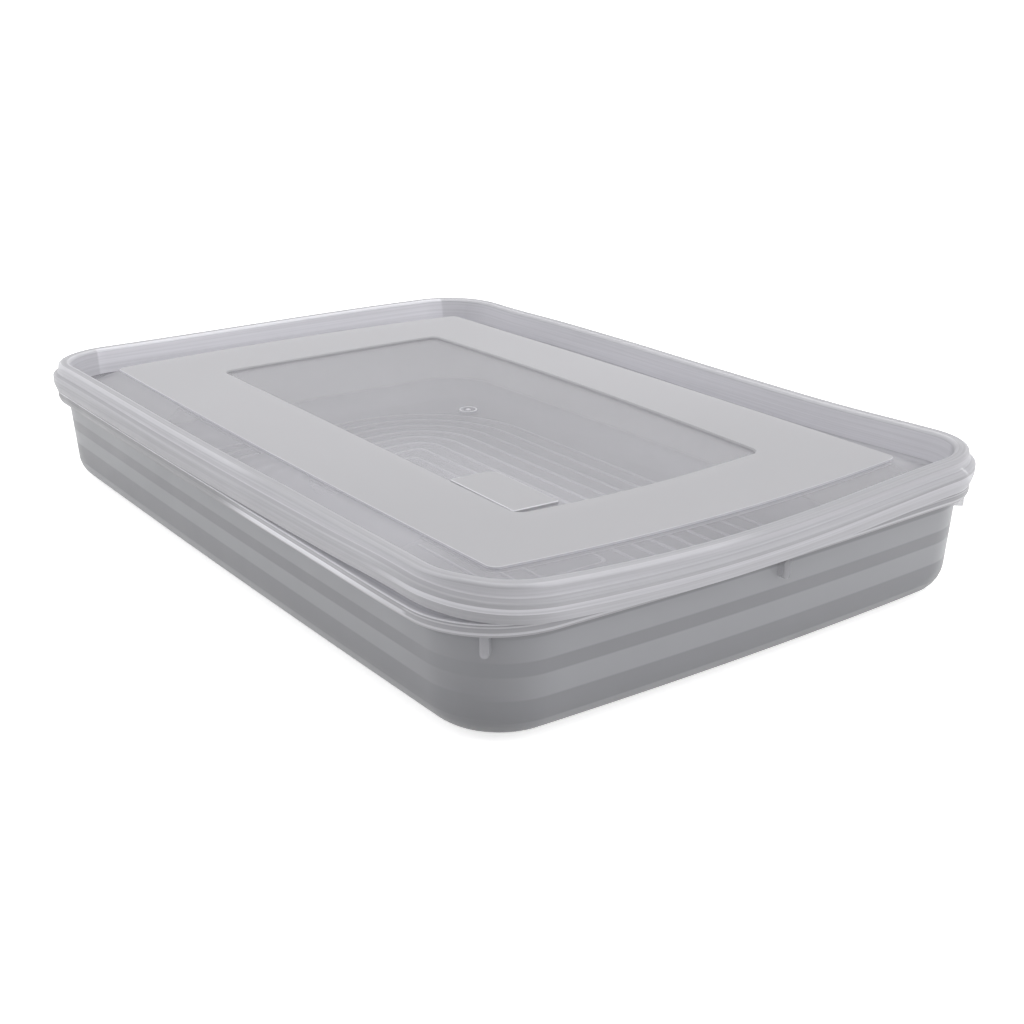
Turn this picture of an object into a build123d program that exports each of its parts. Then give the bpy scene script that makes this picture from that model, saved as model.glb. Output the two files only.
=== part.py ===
from build123d import *
import os

os.makedirs("parts", exist_ok=True)

# Low rectangular food container: a clear tub and the clear lid that presses over its rim
# X runs along the length, Y across the width, Z up; the tub stands on Z = 0 with its middle at the origin
# All sizes are in millimetres; an inset is measured inwards from the lid's widest line

# Widest line around the lid
half_length = 190.0
half_width = 130.1
corner_radius = 37.2
end_bow = 3.27
side_bow = 1.38

# Tub walls and floor
tub_wall = 1.6
tub_floor = 1.8
foot_inset = 8.4
wall_draft = 0.057
bottom_radius = 12.7
rim_top = 58.5
rim_edge_radius = 0.5

# Down-turned flange around the tub
flange_inset = 1.5
flange_bottom = 41.5
flange_top = 46.5
flange_sheet = 1.5
flange_top_radius = 1.3
flange_edge_radius = 0.6

# Bead near the top of the tub's rim that the lid presses over
grip_bead_low = 54.9
grip_bead_high = 57.1
grip_bead_reach = 0.6
grip_bead_radius = 0.9

# Ribs that keep stacked tubs from jamming
rib_width = 2.9
rib_bottom = 36.0
rib_inset = 4.1
end_rib_offset = 7.5

# Raised rings on the floor, rounded rectangles one inside the other
ring_inset = 31.4
ring_count = 9
innermost_ring_half_width = 16.88
ring_corner_radius = 65.0
ring_least_radius = 4.0
ring_width = 1.6
ring_height = 0.6

# Clearances between lid and tub
seat_gap = 0.3
skirt_gap = 0.3
skirt_to_flange = 2.1
plug_gap = 0.5

# Lid skirt, crest and plug
lid_sheet = 1.4
crest_sheet = 1.5
skirt_sheet = 1.4
bead_height = 5.3
bead_shoulder_radius = 2.3
bead_foot_radius = 0.9
neck_inset = 2.5
crest_inset = 2.9
crest_edge_radius = 1.0
crest_inner_radius = 1.8
plug_draft = 0.12
plug_depth = 13.8
plug_foot_radius = 1.0
moat_foot_radius = 1.4

# Raised frame in the middle of the lid, and the window inside it
frame_half_length = 158.4
frame_half_width = 99.3
frame_width = 38.2
frame_corner_radius = 8.0
frame_end_bow = 2.7
frame_side_bow = 1.2
frame_below_crest = 6.8
frame_rise = 1.1
frame_edge_radius = 0.8
window_corner_radius = 4.5
window_end_bow = 1.6
window_side_bow = 0.8

# Small raised pad in one corner of the window
pad_length = 42.0
pad_width = 21.0
pad_gap = 3.5
pad_groove = 0.5
pad_corner_radius = 4.0
pad_rise = 0.9

# Moulding mark in the middle of the lid
mark_radius = 4.0
mark_wall = 0.7
mark_rise = 0.5
mark_nub_radius = 1.0

# Levels and insets that follow from the sizes above
wall_inset_at_rim = foot_inset - wall_draft * rim_top
grip_bead_middle = (grip_bead_low + grip_bead_high) / 2
grip_bead_inset = foot_inset - wall_draft * grip_bead_middle - grip_bead_reach
ceiling = rim_top + seat_gap
crest_top = ceiling + crest_sheet
skirt_bottom = flange_top + skirt_to_flange
bead_top = skirt_bottom + bead_height
skirt_inner_inset = grip_bead_inset - skirt_gap
plug_bottom = ceiling - plug_depth
plug_inset_at_top = wall_inset_at_rim + tub_wall + plug_gap
plug_inset_at_foot = plug_inset_at_top + plug_draft * plug_depth
moat_foot = plug_bottom + lid_sheet
frame_top = crest_top - frame_below_crest
window_level = frame_top - frame_rise
ring_span = half_width + side_bow - ring_inset - innermost_ring_half_width
ring_pitch = ring_span / (ring_count - 1)
overlap = 0.5


def bowed_rectangle(height, half_x, half_y, radius, bow_x, bow_y):
    """Rounded rectangle with gently bowed sides, drawn level at the height."""
    with BuildSketch(Plane.XY.offset(height)) as shape:
        with BuildLine():
            ThreePointArc((half_x, -half_y), (half_x + bow_x, 0), (half_x, half_y))
            ThreePointArc((half_x, half_y), (0, half_y + bow_y), (-half_x, half_y))
            ThreePointArc((-half_x, half_y), (-half_x - bow_x, 0), (-half_x, -half_y))
            ThreePointArc((-half_x, -half_y), (0, -half_y - bow_y), (half_x, -half_y))
        make_face()
        fillet(shape.vertices(), radius)
    return shape.sketch


def outline(height, inset):
    """The container's plan outline at a height, moved in by the inset."""
    return bowed_rectangle(
        height, half_length - inset, half_width - inset, corner_radius - inset, end_bow, side_bow
    )


def frame_outline(height, inset=0.0):
    """The raised frame's outer outline at a height, moved in by the inset."""
    return bowed_rectangle(
        height,
        frame_half_length - inset,
        frame_half_width - inset,
        frame_corner_radius - inset,
        frame_end_bow,
        frame_side_bow,
    )


def window_outline(height, outset=0.0):
    """The window's outline inside the frame at a height, moved out by the outset."""
    return bowed_rectangle(
        height,
        frame_half_length - frame_width + outset,
        frame_half_width - frame_width + outset,
        window_corner_radius + outset,
        window_end_bow,
        window_side_bow,
    )


def ring_outline(inset):
    """Outline of a floor ring's edge, level with the sketch that it is added to."""
    with BuildSketch() as shape:
        radius = max(ring_corner_radius + ring_inset - inset, ring_least_radius)
        RectangleRounded(2 * (half_length + end_bow - inset), 2 * (half_width + side_bow - inset), radius)
    return shape.sketch


def tub_wall_inset(height):
    """Inset of the tub wall's outer face at a height."""
    return foot_inset - wall_draft * height


def edges_at(shape, height):
    """Edges whose middle lies at the given height."""
    return shape.edges().filter_by_position(Axis.Z, height - 0.01, height + 0.01)


def tall_outline(low, low_inset, high, high_inset):
    """The outline at two heights, to loft a drafted wall between."""
    return [outline(low, low_inset), outline(high, high_inset)]


# Space inside the tub, with its rounded floor edge
with BuildPart() as tub_inside:
    inside_foot = tub_wall_inset(tub_floor) + tub_wall
    inside_top = tub_wall_inset(rim_top) + tub_wall
    loft(tall_outline(tub_floor, inside_foot, rim_top, inside_top), ruled=True)
    fillet(edges_at(tub_inside, tub_floor), bottom_radius - tub_wall)

# Tub
with BuildPart() as tub:
    # Flange plate with its down-turned lip
    extrude(outline(flange_bottom, flange_inset), amount=flange_top - flange_bottom)
    fillet(edges_at(tub, flange_top), flange_top_radius)
    fillet(edges_at(tub, flange_bottom), flange_edge_radius)
    lip_depth = flange_top - flange_sheet - flange_bottom
    extrude(outline(flange_bottom, flange_inset + flange_sheet), amount=lip_depth, mode=Mode.SUBTRACT)

    # Drafted walls with the rounded bottom edge, and the grip bead near the top
    wall_levels = [
        outline(0, tub_wall_inset(0)),
        outline(grip_bead_low, tub_wall_inset(grip_bead_low)),
        outline(grip_bead_middle, grip_bead_inset),
        outline(grip_bead_high, tub_wall_inset(grip_bead_high)),
        outline(rim_top, tub_wall_inset(rim_top)),
    ]
    loft(wall_levels, ruled=True)
    fillet(edges_at(tub, 0), bottom_radius)
    fillet(edges_at(tub, grip_bead_middle), grip_bead_radius)

    # Hollow inside of the tub
    add(tub_inside.part, mode=Mode.SUBTRACT)
    fillet(edges_at(tub, rim_top), rim_edge_radius)

    # Nesting ribs under the flange, one at each corner and one at each end
    corner_arcs = outline(0, 0).edges().sort_by(SortBy.RADIUS)[:4]
    rib_root = corner_radius - tub_wall_inset(flange_bottom) - tub_wall / 2
    rib_depth = tub_wall_inset(flange_bottom) + tub_wall / 2 - rib_inset
    rib_planes = []
    for arc in corner_arcs:
        centre = arc.arc_center
        outward = Vector(centre.X, 0, 0).normalized() + Vector(0, centre.Y, 0).normalized()
        root = Vector(centre.X, centre.Y, 0) + outward.normalized() * rib_root
        rib_planes.append(Plane(origin=root, x_dir=Vector(-outward.Y, outward.X, 0), z_dir=outward))
    for side in (1, -1):
        root = Vector(side * (half_length + end_bow - corner_radius + rib_root), side * end_rib_offset, 0)
        rib_planes.append(Plane(origin=root, x_dir=(0, side, 0), z_dir=(side, 0, 0)))
    rib_low = rib_bottom + rib_width / 2
    rib_high = flange_top - flange_sheet + overlap
    for plane in rib_planes:
        with BuildSketch(plane):
            with Locations((0, rib_low)):
                Circle(rib_width / 2)
            with Locations((0, (rib_low + rib_high) / 2)):
                Rectangle(rib_width, rib_high - rib_low)
        extrude(amount=rib_depth)

    # Low rings moulded into the floor
    for number in range(ring_count):
        middle_inset = ring_inset + number * ring_pitch
        with BuildSketch(Plane.XY.offset(tub_floor - overlap)):
            add(ring_outline(middle_inset - ring_width / 2))
            add(ring_outline(middle_inset + ring_width / 2), mode=Mode.SUBTRACT)
        extrude(amount=overlap + ring_height)

tub.part.label = "tub"
export_step(tub.part, "parts/tub.step")

# Lid
with BuildPart() as lid:
    # Skirt bead and the neck that rises to the crest
    extrude(outline(skirt_bottom, 0), amount=bead_height)
    fillet(edges_at(lid, bead_top), bead_shoulder_radius)
    fillet(edges_at(lid, skirt_bottom), bead_foot_radius)
    loft(tall_outline(bead_top - overlap, neck_inset, crest_top, crest_inset), ruled=True)
    fillet(edges_at(lid, crest_top), crest_edge_radius)

    # Hollow under the crest, flared open behind the bead
    extrude(outline(skirt_bottom, skirt_inner_inset), amount=ceiling - skirt_bottom, mode=Mode.SUBTRACT)
    flare_top = bead_top - skirt_sheet / 2
    flare_low = flare_top - (skirt_inner_inset - skirt_sheet)
    flare = tall_outline(flare_low, skirt_sheet, flare_top, skirt_inner_inset)
    loft(flare, ruled=True, mode=Mode.SUBTRACT)
    extrude(outline(skirt_bottom, skirt_sheet), amount=flare_low - skirt_bottom, mode=Mode.SUBTRACT)

    # Plug that drops inside the tub's rim
    loft(tall_outline(plug_bottom, plug_inset_at_foot, ceiling, plug_inset_at_top), ruled=True)
    fillet(edges_at(lid, plug_bottom), plug_foot_radius)

    # Pocket inside the plug wall, open upwards
    pocket_inset_at_foot = plug_inset_at_foot + lid_sheet
    pocket_inset_at_crest = plug_inset_at_top + lid_sheet - plug_draft * crest_sheet
    pocket = tall_outline(moat_foot, pocket_inset_at_foot, crest_top, pocket_inset_at_crest)
    loft(pocket, ruled=True, mode=Mode.SUBTRACT)
    fillet(edges_at(lid, crest_top).sort_by(SortBy.LENGTH)[:1], crest_inner_radius)
    fillet(edges_at(lid, moat_foot), moat_foot_radius)

    # Sloping moat that climbs inwards to the frame
    slope_inset = pocket_inset_at_foot + overlap
    loft([outline(moat_foot, slope_inset), frame_outline(window_level)], ruled=True)
    extrude(frame_outline(window_level), amount=frame_rise)
    fillet(edges_at(lid, frame_top), frame_edge_radius)
    extrude(window_outline(window_level), amount=frame_rise, mode=Mode.SUBTRACT)

    # Underside follows the top at the sheet's thickness
    under_level = window_level - lid_sheet
    loft([outline(plug_bottom, slope_inset), frame_outline(under_level)], ruled=True, mode=Mode.SUBTRACT)
    with BuildSketch(Plane.XY.offset(under_level)):
        add(frame_outline(0, lid_sheet))
        add(window_outline(0, lid_sheet), mode=Mode.SUBTRACT)
    extrude(amount=frame_rise, mode=Mode.SUBTRACT)

    # Raised pad in the window's corner
    pad_high_x = frame_half_length - frame_width + window_end_bow / 2 - pad_gap
    pad_low_y = -(frame_half_width - frame_width + window_side_bow / 2) + pad_groove
    with BuildSketch(Plane.XY.offset(window_level - overlap)) as pad_shape:
        with Locations((pad_high_x - pad_length / 2, pad_low_y + pad_width / 2)):
            Rectangle(pad_length, pad_width)
        fillet(pad_shape.vertices().group_by(Axis.Y)[-1].sort_by(Axis.X)[:1], pad_corner_radius)
    extrude(amount=overlap + pad_rise)

    # Moulding mark in the middle
    with BuildSketch(Plane.XY.offset(window_level - overlap)):
        Circle(mark_radius)
        Circle(mark_radius - mark_wall, mode=Mode.SUBTRACT)
        Circle(mark_nub_radius)
    extrude(amount=overlap + mark_rise)

lid.part.label = "lid"
export_step(lid.part, "parts/lid.step")
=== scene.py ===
import math

import bmesh
import bpy
import numpy as np
from mathutils import Matrix, Vector


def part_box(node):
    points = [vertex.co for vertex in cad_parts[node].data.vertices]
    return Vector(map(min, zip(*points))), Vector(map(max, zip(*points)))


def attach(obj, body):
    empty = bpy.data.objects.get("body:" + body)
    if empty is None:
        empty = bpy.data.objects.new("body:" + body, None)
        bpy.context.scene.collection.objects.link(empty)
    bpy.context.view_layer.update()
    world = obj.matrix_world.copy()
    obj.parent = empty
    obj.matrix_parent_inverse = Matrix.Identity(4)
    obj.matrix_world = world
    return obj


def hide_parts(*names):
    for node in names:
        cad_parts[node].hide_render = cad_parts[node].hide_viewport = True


# Looks of a low clear food container: translucent tub, translucent lid with a frosted frame
# Lengths are in millimetres until a mesh is written, heights are above the table
# Places in materials, lights and the camera are in metres
# An inset is measured inwards: from the widest line around the lid, or from the edge of the frame or pad

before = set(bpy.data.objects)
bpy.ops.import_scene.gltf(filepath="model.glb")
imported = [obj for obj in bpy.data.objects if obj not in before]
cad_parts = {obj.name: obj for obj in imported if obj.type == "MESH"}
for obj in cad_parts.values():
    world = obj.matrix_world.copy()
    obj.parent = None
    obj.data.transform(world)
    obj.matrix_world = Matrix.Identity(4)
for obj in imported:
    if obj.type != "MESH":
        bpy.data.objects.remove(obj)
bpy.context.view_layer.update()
MM = 0.001

lid_low, lid_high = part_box("lid")
tub_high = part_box("tub")[1]

# Plan outline, shared by every level of the tub and lid
END_BOW = 3.27
SIDE_BOW = 1.38
HALF_LENGTH = lid_high.x / MM - END_BOW
HALF_WIDTH = lid_high.y / MM - SIDE_BOW
CORNER_RADIUS = 35.1
LEAST_RADIUS = 3
CORNER_STEPS = 18
END_STEPS = 40
SIDE_STEPS = 60

# Lid: the rim's section, from the crest down to the skirt, and the plug inside the tub
CREST_TOP = lid_high.z / MM
PLUG_BOTTOM = lid_low.z / MM
SHEET = 1.4
RIM_TOP = tub_high.z / MM
SEAT_GAP = 0.3
CEILING = RIM_TOP + SEAT_GAP
CREST_INSET = 2.9
NECK_INSET = 2.4
NECK_FOOT = 56.4
BEAD_TOP = 54.7
BELLY_TOP = 53.3
BEAD_LOW = 51.2
SKIRT_BOTTOM = 47.7
SKIRT_FOOT_INSET = 1.1
PLUG_TOP_INSET = 7.17
PLUG_FOOT_INSET = 8.82
CREST_INNER_INSET = PLUG_TOP_INSET + SHEET - 0.18
MOAT_INSET = 14.0
MOAT_RISE = 1.1

# Lid: corners of the rim's section, as (inset, height): the line above the bead and the hollow for the tub
LINE_TOP = (1.5, BEAD_TOP + 1.06)
LINE_FOOT = (0.8, BEAD_TOP + 0.57)
HOLLOW_LOW = (SHEET, BEAD_TOP - 0.6)
HOLLOW_NECK = (4.0, NECK_FOOT - 0.4)
HOLLOW_TOP = (4.31, CEILING)

# Lid: the raised frame and the window in it
FRAME_TOP = 53.5
FRAME_HALF = (158.4, 99.3)
FRAME_WIDTH = 38.2
FRAME_CORNER = 3.6
FRAME_BOWS = (2.7, 1.2)
FRAME_ROUNDING = 1.0
FRAME_FLAT_INSET = 2.0
WINDOW_LEVEL = 52.7
WINDOW_BOWS = (1.6, 0.8)
WINDOW_CORNER = 4.5

# Lid: the step from the window up to the frame, as (inset from the window's edge, height, corner radius)
WINDOW_STEP = (
    (0.15, WINDOW_LEVEL, WINDOW_CORNER), (0, FRAME_TOP - 0.35, WINDOW_CORNER),
    (-0.3, FRAME_TOP, 4.8), (-1.5, FRAME_TOP, 5.5))

# Lid: how many loops the flat frame and the slope around it have, and the window's as shares of its size
FRAME_STEPS = 4
SLOPE_STEPS = 5
MIDDLE_SCALES = (0.04, 0.25, 0.5, 0.75, 0.94)

# Small raised pad in the window's corner, with one rounder corner
PAD_LEFT, PAD_RIGHT = 76.0, 117.6
PAD_FRONT, PAD_BACK = -60.9, -39.9
PAD_RISE = 0.9
PAD_SINK = 0.6
PAD_EDGE = 0.35
PAD_MIDDLE_INSET = 6.0
PAD_CORNER = 0.8
PAD_RIGHT_CORNER = 1.2
PAD_BIG_CORNER = 4.0
LEAST_PAD_CORNER = 0.2
PAD_CORNER_STEPS = 9

# Moulding mark: a low ring with a small nub, in the middle of the window, both with softened edges
MARK_RADIUS = 4.0
MARK_WALL = 0.7
MARK_RISE = 0.5
MARK_SINK = 0.4
MARK_BEVEL = 0.15
MARK_SIDE_DROP = 0.2
MARK_EDGE_DROP = 0.05
NUB_RADIUS = 1.1
NUB_SIDE_RISE = 0.2
NUB_EDGE_RADIUS = 0.8
NUB_TOP_RADIUS = 0.3

# Tub: walls, flange and the bead on its rim
FOOT_INSET = 8.9
WALL_DRAFT = 0.068
WALL = 1.6
FLOOR = 1.8
BOTTOM_RADIUS = 12.7
FLANGE_BOTTOM = 41.5
FLANGE_TOP = 46.5
FLANGE_INSET = 1.5
FLANGE_SHEET = 1.5
FLANGE_INNER_INSET = FLANGE_INSET + FLANGE_SHEET
FLANGE_UNDERSIDE = FLANGE_TOP - FLANGE_SHEET
GRIP_BEAD_LOW = 54.9
GRIP_BEAD = (4.61, 56.0)
GRIP_BEAD_HIGH = 57.1

# Tub: heights and corners of the flange's face, a thin line and a lip at its foot
THIN_LINE_TOP = FLANGE_BOTTOM + 3.9
THIN_LINE_LOW = FLANGE_BOTTOM + 3.4
LIP_TOP = FLANGE_BOTTOM + 2.8
LIP_MIDDLE = FLANGE_BOTTOM + 1.7
LIP_LOW = (FLANGE_INSET + 0.35, FLANGE_BOTTOM + 0.85)
LIP_FOOT = (FLANGE_INSET + 0.7, FLANGE_BOTTOM)

# Tub: rings on the floor, and the flat stretches of the floor and of the foot next to the wall
RING_INSET = 31.4
RING_PITCH = 10.4
RING_COUNT = 9
RING_WIDTH = 1.6
RING_HEIGHT = 0.6
RING_SLOPE = 0.3
RING_CORNER = 65.0
LEAST_RING_CORNER = 4
INNER_FLAT = 5.4
INNERMOST_INSET = RING_INSET + (RING_COUNT - 1) * RING_PITCH + INNER_FLAT
FLOOR_FLAT = 22
FOOT_FLAT = 26

# Tub: nesting ribs, whose front edge is rounded by (distance behind the front, how much narrower) points
RIB_WIDTH = 3.2
RIB_BOTTOM = 33.8
RIB_TOP = FLANGE_TOP - 1.0
RIB_INSET = 3.2
RIB_FOOT_STEPS = 13
RIB_EDGE = ((0.5, 0.0), (0.15, 0.15), (0.0, 0.5))
END_RIB_OFFSET = 5.7
NEAR_RIB_SHIFT = 1.3

# How far the bows of the ends and sides still push the wall out at its corners
CORNER_BOWS = (0.6, 0.2)


def rounded_rectangle(half_x, half_y, radius, bow_x, bow_y):
    """Points around a rounded rectangle whose sides bow outwards: always as many, in the same order."""
    radius = min(radius, half_x - 1, half_y - 1)
    points = []
    corners = ((1, 1, 0), (-1, 1, 90), (-1, -1, 180), (1, -1, 270))
    for index, (sx, sy, start) in enumerate(corners):
        cx, cy = sx * (half_x - radius), sy * (half_y - radius)
        for angle in np.radians(np.linspace(start, start + 90, CORNER_STEPS + 1)):
            points.append((cx + radius * math.cos(angle), cy + radius * math.sin(angle)))
        nx, ny, following = corners[(index + 1) % 4]
        steps = SIDE_STEPS if index % 2 == 0 else END_STEPS
        begin = np.array(points[-1])
        turn = math.radians(following)
        end = np.array((nx * (half_x - radius) + radius * math.cos(turn),
                        ny * (half_y - radius) + radius * math.sin(turn)))
        for t in np.linspace(0, 1, steps + 1)[1:-1]:
            points.append(tuple(begin + t * (end - begin)))
    x, y = np.array(points).T
    swell_x = 1 + bow_x / half_x * (1 - (y / half_y) ** 2)
    swell_y = 1 + bow_y / half_y * (1 - (x / half_x) ** 2)
    return np.stack([x * swell_x, y * swell_y], 1)


def at_height(flat, height):
    """Flat points, all at one height."""
    return np.column_stack([flat, np.full(len(flat), height)])


def outline(inset, height):
    """The container's outline at an inset and a height."""
    radius = max(CORNER_RADIUS - inset, LEAST_RADIUS)
    flat = rounded_rectangle(HALF_LENGTH - inset, HALF_WIDTH - inset, radius, END_BOW, SIDE_BOW)
    return at_height(flat, height)


def panel_outline(inset, height, radius=FRAME_CORNER, bows=FRAME_BOWS):
    """The raised frame's outline at an inset and a height."""
    flat = rounded_rectangle(FRAME_HALF[0] - inset, FRAME_HALF[1] - inset, radius, *bows)
    return at_height(flat, height)


def ring_outline(inset, height):
    """A floor ring's outline at an inset and a height."""
    radius = max(RING_CORNER + RING_INSET - inset, LEAST_RING_CORNER)
    flat = rounded_rectangle(HALF_LENGTH + END_BOW - inset, HALF_WIDTH + SIDE_BOW - inset, radius, 0, 0)
    return at_height(flat, height)


# A rounding takes up to this share of a straight, so that the next one has room too
ROUNDING_SHARE = 0.49


def rounded_path(corners, steps=5):
    """Steps (inset, height, kind) along a path that rounds its corners.
    A corner is (inset, height, radius, kind around the rounding, kind along the straight that follows).
    A step's kind says what the skin from there to the next step is made of. A corner with radius 0 stays
    sharp and has one kind, and so do the path's two ends, which have no radius."""
    path = [(*corners[0][:2], corners[0][-1])]
    for before, corner, after in zip(corners, corners[1:], corners[2:]):
        here = np.array(corner[:2], float)
        radius, around, beyond = corner[2], corner[3], corner[-1]
        if not radius:
            path.append((*here, beyond))
            continue
        back = np.array(before[:2], float) - here
        ahead = np.array(after[:2], float) - here
        back_unit = back / np.linalg.norm(back)
        ahead_unit = ahead / np.linalg.norm(ahead)
        opening = math.acos(np.clip(back_unit @ ahead_unit, -1, 1))
        room = min(np.linalg.norm(back), np.linalg.norm(ahead))
        reach = min(radius / math.tan(opening / 2), ROUNDING_SHARE * room)
        radius = reach * math.tan(opening / 2)
        middle = back_unit + ahead_unit
        centre = here + middle / np.linalg.norm(middle) * radius / math.sin(opening / 2)
        first = here + back_unit * reach - centre
        last = here + ahead_unit * reach - centre
        sweep = math.pi - opening
        turn = math.copysign(1, first[0] * last[1] - first[1] * last[0])
        for t in np.linspace(0, 1, steps + 1):
            angle = turn * sweep * t
            c, s = math.cos(angle), math.sin(angle)
            spot = centre + (first[0] * c - first[1] * s, first[0] * s + first[1] * c)
            path.append((*spot, around if t < 1 else beyond))
    path.append((*corners[-1][:2], corners[-1][-1]))
    return path


def write_across(mesh, loops):
    """The point attribute "across": the distance from the first loop, in millimetres along the section."""
    strides = [np.linalg.norm(after - before, axis=1).mean() for before, after in zip(loops, loops[1:])]
    across = np.repeat(np.concatenate([[0], np.cumsum(strides)]), len(loops[0]))
    across = np.concatenate([across, np.zeros(len(mesh.vertices) - len(across))])
    mesh.attributes.new("across", "FLOAT", "POINT").data.foreach_set("value", across)


def face_outwards(mesh):
    """Turns the front of every face outwards."""
    work = bmesh.new()
    work.from_mesh(mesh)
    bmesh.ops.recalc_face_normals(work, faces=work.faces)
    work.to_mesh(mesh)
    work.free()


def mesh_from_loops(name, loops, bands, materials, closed=False):
    """Skin over a stack of matching loops; bands holds one material index for each gap between loops.
    A closed stack joins its last loop to its first, and an open one is capped at both ends."""
    count = len(loops[0])
    verts = np.concatenate(loops)
    faces, indices = [], []
    gaps = len(loops) if closed else len(loops) - 1
    for level in range(gaps):
        above = (level + 1) % len(loops)
        for i in range(count):
            j = (i + 1) % count
            faces.append((level * count + i, level * count + j, above * count + j, above * count + i))
            indices.append(bands[level])
    if not closed:
        for level in (0, len(loops) - 1):
            verts = np.vstack([verts, loops[level].mean(0)])
            for i in range(count):
                faces.append((level * count + i, level * count + (i + 1) % count, len(verts) - 1))
                indices.append(bands[0] if level == 0 else bands[-1])
    mesh = bpy.data.meshes.new(name)
    mesh.from_pydata([tuple(v * MM) for v in verts], [], faces)
    write_across(mesh, loops)
    for material in materials:
        mesh.materials.append(material)
    mesh.polygons.foreach_set("material_index", indices)
    piece = bpy.data.objects.new(name, mesh)
    bpy.context.scene.collection.objects.link(piece)
    face_outwards(mesh)
    smooth(piece)
    return piece


SHARP_ANGLE = 32
NORMAL_WEIGHT = 80


def smooth(piece):
    """Smooth shading that stays crisp over edges sharper than the angle."""
    mesh = piece.data
    mesh.polygons.foreach_set("use_smooth", [True] * len(mesh.polygons))
    mesh.set_sharp_from_angle(angle=math.radians(SHARP_ANGLE))
    weighted = piece.modifiers.new("weighted normals", "WEIGHTED_NORMAL")
    weighted.keep_sharp = True
    weighted.weight = NORMAL_WEIGHT


# How far the half-pressed lid and the flange stand off their level places

def ease(value, low, high):
    """Smooth step from 0 at low to 1 at high."""
    t = np.clip((value - low) / (high - low), 0, 1)
    return t * t * (3 - 2 * t)


# Lifts around the container, as (place around, lift): place 0 is the near corner, 2 right, 4 far and 6 left
LID_WAVE = (
    (0.10, -1.0), (0.23, -1.9), (0.35, -3.0), (0.57, -4.4), (0.80, -5.0), (1.02, -4.6), (1.24, -3.4),
    (1.46, -1.7), (1.70, -0.3), (1.92, 0.0), (2.17, -1.0), (2.44, -2.6), (2.84, -2.85), (3.25, -2.3),
    (3.52, -2.35), (3.79, -2.9), (3.97, -2.3), (4.32, -2.0), (5.68, -2.4), (5.92, -2.0), (6.22, -1.0),
    (6.93, -0.7), (7.30, -0.1), (7.54, 0.6), (7.78, 1.6), (7.85, 1.4), (7.97, 0.2))
FLANGE_WAVE = (
    (0.10, 0.2), (0.23, 0.6), (0.57, 0.6), (0.80, 0.6), (1.24, 1.0), (1.46, 1.3), (1.70, 1.4), (1.90, 0.8),
    (2.3, 0.2), (4.0, 0.0), (5.0, 0.0), (6.0, -0.1), (6.7, -0.2), (7.2, -0.1), (7.5, -0.4), (7.78, -0.7),
    (7.9, -0.3))

# How far below and above the flange its wave fades out
FADE_BELOW = 12
FADE_ABOVE = 3


def wave_lift(wave, x, y):
    """Lift of a wave at the place around the container where a point lies."""
    u, v = x / HALF_LENGTH, y / HALF_WIDTH
    reach = np.maximum(np.maximum(np.abs(u), np.abs(v)), 1e-6)
    u, v = u / reach, v / reach
    place = np.select([u >= 1, v >= 1, u <= -1], [1 + v, 3 - u, 5 - v], 7 + u)
    places, lifts = np.array(wave).T
    places = np.concatenate([places - 8, places, places + 8])
    lifts = np.tile(lifts, 3)
    slopes = np.gradient(lifts, places)
    i = np.searchsorted(places, place) - 1
    width = places[i + 1] - places[i]
    t = (place - places[i]) / width
    rise = t * t * (3 - 2 * t)
    bend = t * (1 - t) * width * ((1 - t) * slopes[i] - t * slopes[i + 1])
    return lifts[i] + rise * (lifts[i + 1] - lifts[i]) + bend


# Warp of the lid's middle panel: a sag that grows towards +X, and a bulge at five places across the width
PANEL_SAG = 0.75
PANEL_TILT = 1.45
BULGE_PLACES = (-FRAME_HALF[1], -61.0, 0.0, 61.0, FRAME_HALF[1])
BULGE_RISES = (-0.4, 1.2, 0.75, 2.0, 0.3)
BULGE = np.polyfit(BULGE_PLACES, BULGE_RISES, len(BULGE_PLACES) - 1)


def panel_lift(x, y):
    """Gentle warp of the lid's middle panel."""
    across = np.clip(1 - (y / FRAME_HALF[1]) ** 2, 0, 1)
    along = np.clip(1 - (x / FRAME_HALF[0]) ** 2, 0, 1)
    bulge = np.polyval(BULGE, np.clip(y, -FRAME_HALF[1], FRAME_HALF[1]))
    return -(PANEL_SAG + PANEL_TILT * x / FRAME_HALF[0]) * across + bulge * along


def lift_lid(loop, share):
    """Moves a lid loop by the rim's lift (share 0), by the panel's warp (share 1) or by some of both."""
    x, y, z = loop.T
    rim = wave_lift(LID_WAVE, x, y)
    headroom = np.clip((CREST_TOP - z) / (CREST_TOP - NECK_FOOT), 0, 1)
    rim = np.where(rim > 0, rim * headroom, rim)
    z = z + (1 - share) * rim + share * panel_lift(x, y)
    return np.column_stack([x, y, z])


def lift_tub(loop):
    """Moves a tub loop: the rim sinks with the lid that covers it, and the flange waves."""
    x, y, z = loop.T
    rim = np.minimum(wave_lift(LID_WAVE, x, y), 0) * ease(z, FLANGE_TOP, RIM_TOP)
    held = ease(z, FLANGE_BOTTOM - FADE_BELOW, FLANGE_BOTTOM)
    held = held * (1 - ease(z, FLANGE_TOP, FLANGE_TOP + FADE_ABOVE))
    return np.column_stack([x, y, z + rim + held * wave_lift(FLANGE_WAVE, x, y)])


def blend_loops(first, last, count):
    """Loops in between two loops."""
    return [first + (last - first) * t for t in np.linspace(0, 1, count + 2)[1:-1]]


# Materials

PLASTIC_IOR = 1.49
SHEET_ROUGHNESS = 0.38
WALL_ROUGHNESS = 0.4
RIM_ROUGHNESS = 0.48

# Where a Mix node keeps its two colours and its result
MIX_FIRST = 6
MIX_SECOND = 7
MIX_RESULT = 2

# How fast the streaks change: across the section by the millimetre, and along x and y by the metre
STREAK_PACE = (1.3, 9, 9)


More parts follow.
